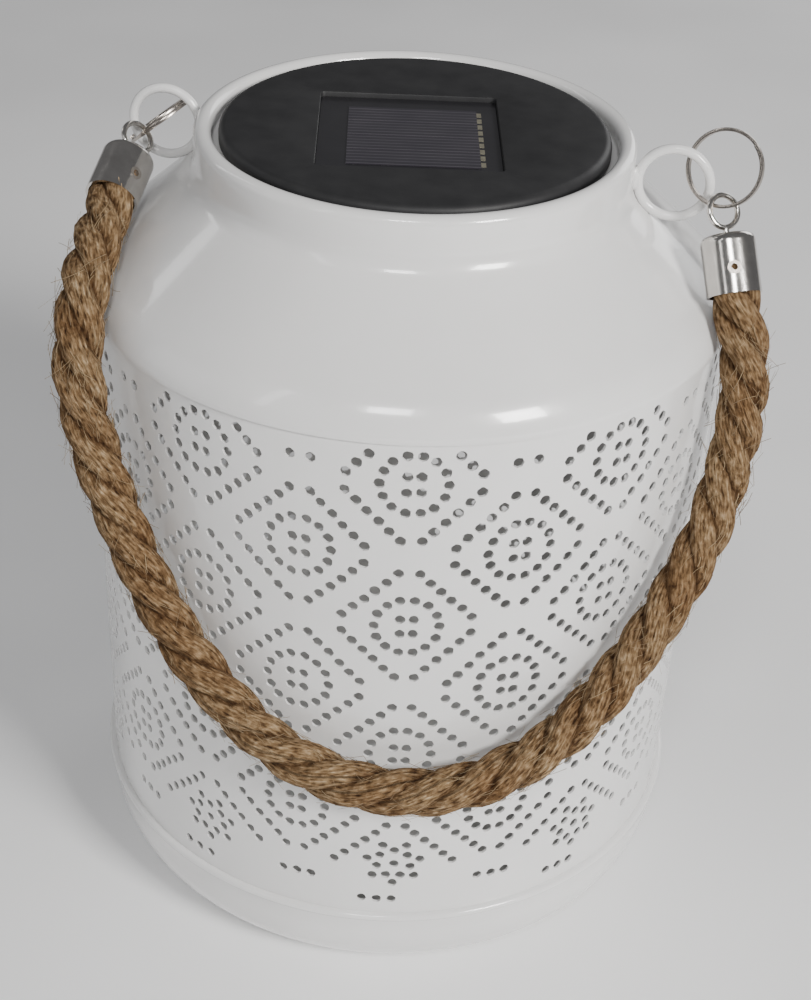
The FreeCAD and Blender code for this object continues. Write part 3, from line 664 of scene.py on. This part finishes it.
# The punched pattern, in the sleeve's own flat coordinates: round it and down from the top
# seam, both in sleeve radii.
COLUMNS, COLUMN_PITCH, MIDDLE_COLUMN = 19, math.radians(18.26), math.radians(12.9)
EVEN_DEPTHS, ODD_DEPTHS = (0.129, 0.615, 1.105), (0.3705, 0.858, 1.352)
CHEVRON_DEPTH, FLOWER_DEPTH = 1.59, 1.565
DIAMOND_SIDE, DIAMOND_TOP, DIAMOND_HOLES = (0.190, 0.029), (0.030, 0.187), 6
CIRCLE_HOLES, CIRCLE_RADIUS, HEART = 14, 0.095, (0.020, 0.0255)
FLOWER_PETALS, FLOWER_RADII = 7, (0.056, 0.086)
PAIR_SPACING, PAIR_DEPTH = 0.030, 0.073
DASH_SPACING, TOP_MARGIN = 0.048, 0.03
# The depth of the three holes low in a column, and how far they are off its middle.
EVEN_DASH, ODD_DASH = (1.725, -0.050), (1.649, 0.006)
# In mm: the radius that the coordinates above are in parts of, a hole's radius, how far it is
# out of place, and the room round it that the grid leaves free.
PATTERN_RADIUS, HOLE_RADIUS, HOLE_JITTER, HOLE_ROOM = 76.0, 1.25, 0.12, 0.5
# A hole's sides, how much its radius varies, and the part of it that counts as open.
HOLE_SIDES, HOLE_SPREAD, HOLE_OPEN = 14, 0.05, 0.9
# The grid that lets the sheet bend, and in mm the bins that holes are looked up in and how far
# the sheet reaches below and above its seams.
GRID_COLUMNS, GRID_ROWS = 120, 36
BIN, SLEEVE_SINK, SLEEVE_RISE = 4, 2.5, 0.8


def diamond():
    """Six holes along each side, from near the side corner to near the top corner."""
    spots = []
    for i in range(DIAMOND_HOLES):
        t = i / (DIAMOND_HOLES - 1)
        x, y = (side + (top - side) * t for side, top in zip(DIAMOND_SIDE, DIAMOND_TOP))
        spots += [(x, y), (-x, y), (x, -y), (-x, -y)]
    return spots


def ring_of(count, radius, turn=0.0):
    """Holes evenly round a circle."""
    angles = (2 * math.pi * (i + turn) / count for i in range(count))
    return [(radius * math.sin(a), -radius * math.cos(a)) for a in angles]


def pattern():
    """Every hole of the sleeve, as (round, down)."""
    medallion = diamond() + ring_of(CIRCLE_HOLES, CIRCLE_RADIUS, 0.5)
    medallion += [(x, y) for x in (-HEART[0], HEART[0]) for y in (-HEART[1], HEART[1])]
    flower = [(0, 0)] + ring_of(FLOWER_PETALS, FLOWER_RADII[0])
    flower += ring_of(FLOWER_PETALS, FLOWER_RADII[1], 0.5)
    spots = []
    for column in range(-(COLUMNS // 2), COLUMNS // 2 + 1):
        middle = MIDDLE_COLUMN + column * COLUMN_PITCH
        even = column % 2 == 0
        figures = [(medallion, depth) for depth in (EVEN_DEPTHS if even else ODD_DEPTHS)]
        if even:
            chevron = [spot for spot in diamond() if spot[1] < 0]
            figures += [(chevron, CHEVRON_DEPTH), (flower, FLOWER_DEPTH)]
        else:
            figures.append(([(-PAIR_SPACING, 0), (PAIR_SPACING, 0)], PAIR_DEPTH))
        dash, shift = EVEN_DASH if even else ODD_DASH
        figures.append(([(shift + x, 0) for x in (-DASH_SPACING, 0, DASH_SPACING)], dash))
        spots += [(middle + x, depth + y) for figure, depth in figures for x, y in figure]
    return [spot for spot in spots if spot[1] > TOP_MARGIN]


def nearest_hole(centres):
    """A function that tells how far a place is from the nearest hole's centre, up to BIN."""
    bins = {}
    for x, z in centres:
        bins.setdefault((int(x // BIN), int(z // BIN)), []).append((x, z))

    def distance(x, z):
        column, row = int(x // BIN), int(z // BIN)
        near = [centre for i in (-1, 0, 1) for j in (-1, 0, 1)
                for centre in bins.get((column + i, row + j), [])]
        return min((math.hypot(x - cx, z - cz) for cx, cz in near), default=BIN)

    return distance


def sheet_with_holes(centres, low, high, rng):
    """A flat strip as long as the sleeve is round, in triangles that leave every hole out."""
    distance = nearest_hole(centres)
    flat, edges = [], []
    for i in range(GRID_COLUMNS + 1):
        for j in range(GRID_ROWS + 1):
            x = 2 * math.pi * PATTERN_RADIUS * i / GRID_COLUMNS
            z = low + (high - low) * j / GRID_ROWS
            on_edge = i in (0, GRID_COLUMNS) or j in (0, GRID_ROWS)
            if on_edge or distance(x, z) > HOLE_RADIUS + HOLE_ROOM:
                flat.append(Vector((x, z)))
    for x, z in centres:
        start = len(flat)
        radius = HOLE_RADIUS * rng.uniform(1 - HOLE_SPREAD, 1 + HOLE_SPREAD)
        for k in range(HOLE_SIDES):
            a = 2 * math.pi * k / HOLE_SIDES
            flat.append(Vector((x + radius * math.cos(a), z + radius * math.sin(a))))
            edges.append((start + k, start + (k + 1) % HOLE_SIDES))
    verts, _, triangles, *_ = geometry.delaunay_2d_cdt(flat, edges, [], 0, 1e-5, False)
    kept = []
    for triangle in triangles:
        middle = sum((verts[i] for i in triangle), Vector((0, 0))) / len(triangle)
        if distance(*middle) >= HOLE_RADIUS * HOLE_OPEN:
            kept.append(tuple(triangle))
    return verts, kept


def make_sleeve():
    """The sleeve as a thin sheet with every hole cut through it, its seam at the back."""
    rng = random.Random(3)
    outside = SKIRT - SHEET
    seam = MIDDLE_COLUMN + math.pi
    centres = []
    for around, down in pattern():
        turned = (around - seam) % (2 * math.pi)
        centres.append((turned * PATTERN_RADIUS + rng.uniform(-HOLE_JITTER, HOLE_JITTER),
                        SEAM_TOP - 0.1 - PATTERN_RADIUS * down
                        + rng.uniform(-HOLE_JITTER, HOLE_JITTER)))
    flat, kept = sheet_with_holes(centres, SEAM_BOTTOM - SLEEVE_SINK, SEAM_TOP + SLEEVE_RISE, rng)

    def wrapped(place, radius):
        azimuth = place[0] / PATTERN_RADIUS + seam
        return (radius * math.sin(azimuth) * MM, -radius * math.cos(azimuth) * MM, place[1] * MM)

    verts = [wrapped(place, radius) for radius in (outside, outside - SHEET) for place in flat]
    count = len(flat)
    faces = kept + [tuple(count + i for i in reversed(face)) for face in kept]
    sides = dict.fromkeys((a, b) for face in kept for a, b in zip(face, face[1:] + face[:1]))
    faces += [(b, a, a + count, b + count) for a, b in sides if (b, a) not in sides]
    piece = make_piece("punched_sleeve", verts, faces, "root", enamel, 35)
    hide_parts("perforated_sleeve")


# A weld's radius and its place out and up in mm, its stretch the same ways, and its lumps.
WELD_RADIUS, WELD_PLACE, WELD_STRETCH, WELD_LUMP = 1.9, (50.4, 193.3), (0.7, 1.5), 0.25


def make_welds():
    """The lump of weld under the enamel where each wire ring meets the neck."""
    parts = []
    middle = [(WELD_RADIUS * math.sin(a), -WELD_RADIUS * math.cos(a))
              for a in (math.pi * i / 10 for i in range(1, 10))]
    profile = [(0, -WELD_RADIUS), *middle, (0, WELD_RADIUS)]
    for sign in (1, -1):
        verts, faces = lathe(profile, 20, closed=False)
        place = Vector((sign * WELD_PLACE[0], 0, WELD_PLACE[1])) * MM
        lumps = []
        for x, y, z in verts:
            lump = noise.noise(Vector((x, y, z)) * 900 + Vector((sign * 3, 0, 0)))
            stretched = Vector((x * WELD_STRETCH[0], y, z * WELD_STRETCH[1]))
            lumps.append(place + stretched * (1 + WELD_LUMP * lump))
        parts.append((lumps, faces, [(0, 0)] * len(lumps)))
    verts, faces, _ = joined(parts)
    make_piece("ring_welds", verts, faces, "root", enamel, 60)


make_shoulder()
make_pan()
make_welds()
make_sleeve()


# ---------------------------------------------------------------- the lid

# All in mm; the window's turn stands above with its material.
LID_TOP, LID_RADIUS, LID_ROUND, LID_SEGMENTS = 199.7, 44.5, 1.8, 160
WINDOW_CENTRE, WINDOW_SIZE, WINDOW_DEPTH, WINDOW_ROUND = (-0.9, -3.3), (41, 43), 2.4, 1


def add_circle(bm, radius, height):
    """A ring of the lid's vertices round its axis."""
    angles = (2 * math.pi * i / LID_SEGMENTS for i in range(LID_SEGMENTS))
    return [bm.verts.new((radius * math.cos(a) * MM, radius * math.sin(a) * MM, height * MM))
            for a in angles]


def add_window_loop(bm, grow, height):
    """A loop of vertices round the turned window, with rounded corners."""
    turn = math.radians(WINDOW_TURN)
    half = [side / 2 - WINDOW_ROUND for side in WINDOW_SIZE]
    loop = []
    for sx, sy in ((1, 1), (-1, 1), (-1, -1), (1, -1)):
        start = math.degrees(math.atan2(sy, sx)) - 45
        centre = (sx * half[0], sy * half[1])
        for x, y in arc(centre, WINDOW_ROUND + grow, start, start + 90, 4):
            place = (WINDOW_CENTRE[0] + x * math.cos(turn) - y * math.sin(turn),
                     WINDOW_CENTRE[1] + x * math.sin(turn) + y * math.cos(turn), height)
            loop.append(bm.verts.new([value * MM for value in place]))
    return loop


def bridge(bm, loops):
    """Faces between each loop and the next."""
    for one, two in zip(loops, loops[1:]):
        for i in range(len(one)):
            j = (i + 1) % len(one)
            bm.faces.new((one[i], one[j], two[j], two[i]))


def make_lid():
    """The disc with a rounded edge, and the turned window sunk in it."""
    bm = bmesh.new()
    outline = [(LID_RADIUS - 1.0, LEDGE), (LID_RADIUS - 0.4, LEDGE + 0.15),
               (LID_RADIUS, LEDGE + 0.7)]
    outline += arc((LID_RADIUS - LID_ROUND, LID_TOP - LID_ROUND), LID_ROUND, 0, 90, 8)
    rings = [add_circle(bm, radius, height) for radius, height in outline]
    bridge(bm, rings)
    rim = [add_window_loop(bm, grow, LID_TOP - drop)
           for grow, drop in ((0, 0.25), (0.12, 0.07), (0.3, 0))]
    window_floor = add_window_loop(bm, 0, LID_TOP - WINDOW_DEPTH)
    bridge(bm, [window_floor, *rim])
    bm.faces.new(window_floor)
    top_edges = [bm.edges.get((ring[i], ring[(i + 1) % len(ring)]))
                 for ring in (rings[-1], rim[-1]) for i in range(len(ring))]
    bmesh.ops.triangle_fill(bm, use_beauty=True, edges=top_edges, normal=UP)
    bm.faces.new(list(reversed(rings[0])))
    bmesh.ops.recalc_face_normals(bm, faces=bm.faces)
    mesh = bpy.data.meshes.new("lid_cover")
    bm.to_mesh(mesh)
    verts = [vertex.co.copy() for vertex in mesh.vertices]
    faces = [tuple(polygon.vertices) for polygon in mesh.polygons]
    piece = make_piece("lid_cover", verts, faces, "lid", black, 35)
    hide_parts("lid_disc")


make_lid()
